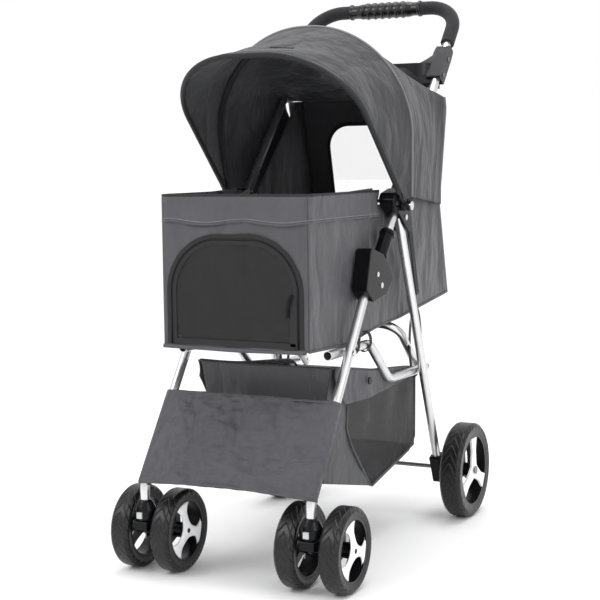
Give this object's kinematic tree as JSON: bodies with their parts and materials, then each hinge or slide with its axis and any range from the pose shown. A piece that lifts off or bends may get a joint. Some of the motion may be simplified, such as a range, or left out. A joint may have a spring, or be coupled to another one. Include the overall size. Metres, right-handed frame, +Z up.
{
  "type": "pet stroller",
  "caption": "Folding pet stroller: tube frame, fabric cabin with arched mesh door, hinged canopy, basket, tray, swivelling twin front casters and braked rear wheels.",
  "frame": {"origin": "on the ground at the middle of the stroller's outline", "axes": "+Z up, front of the stroller towards -Y, +X towards its left side"},
  "size_m": [0.441, 0.7179, 0.9969],
  "materials": {
    "silver_tube": "satin silver powder coat on steel tube",
    "bow_wire": "plain drawn steel wire",
    "black_plastic": "moulded nylon with a fine texture",
    "tray_plastic": "smooth moulded plastic, half gloss",
    "handle_foam": "closed cell foam sleeve, matt",
    "grip_rubber": "smooth moulded rubber, half gloss",
    "tyre_rubber": "solid foam rubber tyre with a moulded tread",
    "rim_plastic": "moulded rim",
    "white_plastic": "moulded white wheel cover",
    "grey_plastic": "light grey lock tab",
    "steel_pins": "bright domed rivet",
    "axle_steel": "blackened steel rod",
    "grey_fabric": "slate grey coated polyester weave",
    "black_mesh": "open black nylon mesh",
    "floor_board": "stiff board under the floor"
  },
  "bodies": {
    "root": {"front_leg_left": "silver_tube", "front_leg_right": "silver_tube", "fold_housing_left": "black_plastic", "fold_housing_right": "black_plastic", "frame_pins": "steel_pins", "cabin_body": "grey_fabric", "cabin_floor_board": "floor_board", "storage_basket": "black_mesh", "foot_panel": "grey_fabric", "caster_housing_left": "black_plastic", "caster_housing_right": "black_plastic"},
    "front_door": {"front_door": "black_mesh"},
    "handle": {"handle_tube": "silver_tube", "foam_sleeve_left": "handle_foam", "foam_sleeve_right": "handle_foam", "rubber_grip": "grip_rubber", "parent_tray": "tray_plastic", "tray_screws": "steel_pins", "fold_knuckle_left": "black_plastic", "fold_knuckle_right": "black_plastic", "hub_bracket_left": "black_plastic", "hub_bracket_right": "black_plastic", "bracket_pins": "steel_pins"},
    "cabin_hoop": {"cabin_hoop": "bow_wire"},
    "main_bow": {"main_bow": "bow_wire", "canopy_rear": "grey_fabric"},
    "front_bow": {"front_bow": "bow_wire", "canopy_front": "grey_fabric"},
    "rear_frame": {"rear_leg_left": "silver_tube", "rear_leg_right": "silver_tube", "rear_bracket_left": "black_plastic", "rear_bracket_right": "black_plastic", "rear_axle": "axle_steel", "brake_pins": "steel_pins"},
    "lower_frame": {"side_link_left": "silver_tube", "side_link_right": "silver_tube", "support_bar": "silver_tube", "link_rivets": "steel_pins"},
    "slide_lock_left": {"slide_lock_left": "black_plastic"},
    "brake_left": {"brake_pedal_left": "black_plastic"},
    "rear_wheel_left": {"rear_tyre_left": "tyre_rubber", "rear_rim_left": "rim_plastic", "spoke_cover_left": "white_plastic"},
    "caster_left": {"caster_fork_left": "black_plastic"},
    "swivel_lock_left": {"swivel_lock_left": "grey_plastic"},
    "front_wheel_left_outer": {"front_tyre_left_outer": "tyre_rubber", "front_rim_left_outer": "rim_plastic"},
    "front_wheel_left_inner": {"front_tyre_left_inner": "tyre_rubber", "front_rim_left_inner": "rim_plastic"},
    "slide_lock_right": {"slide_lock_right": "black_plastic"},
    "brake_right": {"brake_pedal_right": "black_plastic"},
    "rear_wheel_right": {"rear_tyre_right": "tyre_rubber", "rear_rim_right": "rim_plastic", "spoke_cover_right": "white_plastic"},
    "caster_right": {"caster_fork_right": "black_plastic"},
    "swivel_lock_right": {"swivel_lock_right": "grey_plastic"},
    "front_wheel_right_outer": {"front_tyre_right_outer": "tyre_rubber", "front_rim_right_outer": "rim_plastic"},
    "front_wheel_right_inner": {"front_tyre_right_inner": "tyre_rubber", "front_rim_right_inner": "rim_plastic"}
  },
  "joints": [
    {"name": "frame_fold", "type": "hinge", "parent": "root", "child": "handle", "pos_m": [0, -0.079, 0.474], "axis": [-1, 0, 0], "range_deg": [0, 128], "deforming": ["cabin_body", "storage_basket"]},
    {"name": "rear_leg_fold", "type": "hinge", "parent": "handle", "child": "rear_frame", "pos_m": [0, 0.032, 0.585], "axis": [1, 0, 0], "range_deg": [0, 84]},
    {"name": "link_fold", "type": "hinge", "parent": "root", "child": "lower_frame", "pos_m": [0, -0.182, 0.3705], "axis": [-1, 0, 0], "range_deg": [0, 80]},
    {"name": "hoop_fold", "type": "hinge", "parent": "handle", "child": "cabin_hoop", "pos_m": [0, -0.012, 0.615], "axis": [1, 0, 0], "range_deg": [0, 50]},
    {"name": "canopy_fold", "type": "hinge", "parent": "handle", "child": "main_bow", "pos_m": [0, 0.016, 0.606], "axis": [-1, 0, 0], "range_deg": [0, 30], "deforming": ["canopy_rear"]},
    {"name": "canopy_front_fold", "type": "hinge", "parent": "main_bow", "child": "front_bow", "pos_m": [0, 0.016, 0.606], "axis": [-1, 0, 0], "range_deg": [0, 33], "deforming": ["canopy_front"]},
    {"name": "door_open", "type": "hinge", "parent": "root", "child": "front_door", "pos_m": [0, -0.2915, 0.3931], "axis": [1, 0, 0], "range_deg": [0, 120]},
    {"name": "slide_lock_left", "type": "slide", "parent": "handle", "child": "slide_lock_left", "axis": [0, 0.6521, 0.7581], "range_m": [0, 0.03]},
    {"name": "brake_press_left", "type": "hinge", "parent": "rear_frame", "child": "brake_left", "pos_m": [0.154, 0.276, 0.117], "axis": [-1, 0, 0], "range_deg": [0, 18]},
    {"name": "rear_spin_left", "type": "hinge", "parent": "rear_frame", "child": "rear_wheel_left", "pos_m": [0.1975, 0.2543, 0.09], "axis": [1, 0, 0], "continuous": true},
    {"name": "caster_swivel_left", "type": "hinge", "parent": "root", "child": "caster_left", "pos_m": [0.154, -0.332, 0.09], "axis": [0, 0, 1], "continuous": true},
    {"name": "swivel_lock_slide_left", "type": "slide", "parent": "root", "child": "swivel_lock_left", "axis": [0, 0, 1], "range_m": [0, 0.006]},
    {"name": "front_spin_left_outer", "type": "hinge", "parent": "caster_left", "child": "front_wheel_left_outer", "pos_m": [0.193, -0.289, 0.07], "axis": [1, 0, 0], "continuous": true},
    {"name": "front_spin_left_inner", "type": "hinge", "parent": "caster_left", "child": "front_wheel_left_inner", "pos_m": [0.115, -0.289, 0.07], "axis": [1, 0, 0], "continuous": true},
    {"name": "slide_lock_right", "type": "slide", "parent": "handle", "child": "slide_lock_right", "axis": [0, 0.6521, 0.7581], "range_m": [0, 0.03]},
    {"name": "brake_press_right", "type": "hinge", "parent": "rear_frame", "child": "brake_right", "pos_m": [-0.154, 0.276, 0.117], "axis": [-1, 0, 0], "range_deg": [0, 18]},
    {"name": "rear_spin_right", "type": "hinge", "parent": "rear_frame", "child": "rear_wheel_right", "pos_m": [-0.1975, 0.2543, 0.09], "axis": [1, 0, 0], "continuous": true},
    {"name": "caster_swivel_right", "type": "hinge", "parent": "root", "child": "caster_right", "pos_m": [-0.154, -0.332, 0.09], "axis": [0, 0, 1], "continuous": true},
    {"name": "swivel_lock_slide_right", "type": "slide", "parent": "root", "child": "swivel_lock_right", "axis": [0, 0, 1], "range_m": [0, 0.006]},
    {"name": "front_spin_right_outer", "type": "hinge", "parent": "caster_right", "child": "front_wheel_right_outer", "pos_m": [-0.193, -0.289, 0.07], "axis": [1, 0, 0], "continuous": true},
    {"name": "front_spin_right_inner", "type": "hinge", "parent": "caster_right", "child": "front_wheel_right_inner", "pos_m": [-0.115, -0.289, 0.07], "axis": [1, 0, 0], "continuous": true}
  ],
  "couplings": [
    {"joint": "rear_leg_fold", "follows": "frame_fold", "ratio": 0.645},
    {"joint": "link_fold", "follows": "frame_fold", "ratio": 0.6095},
    {"joint": "hoop_fold", "follows": "frame_fold", "ratio": 0.379}
  ]
}
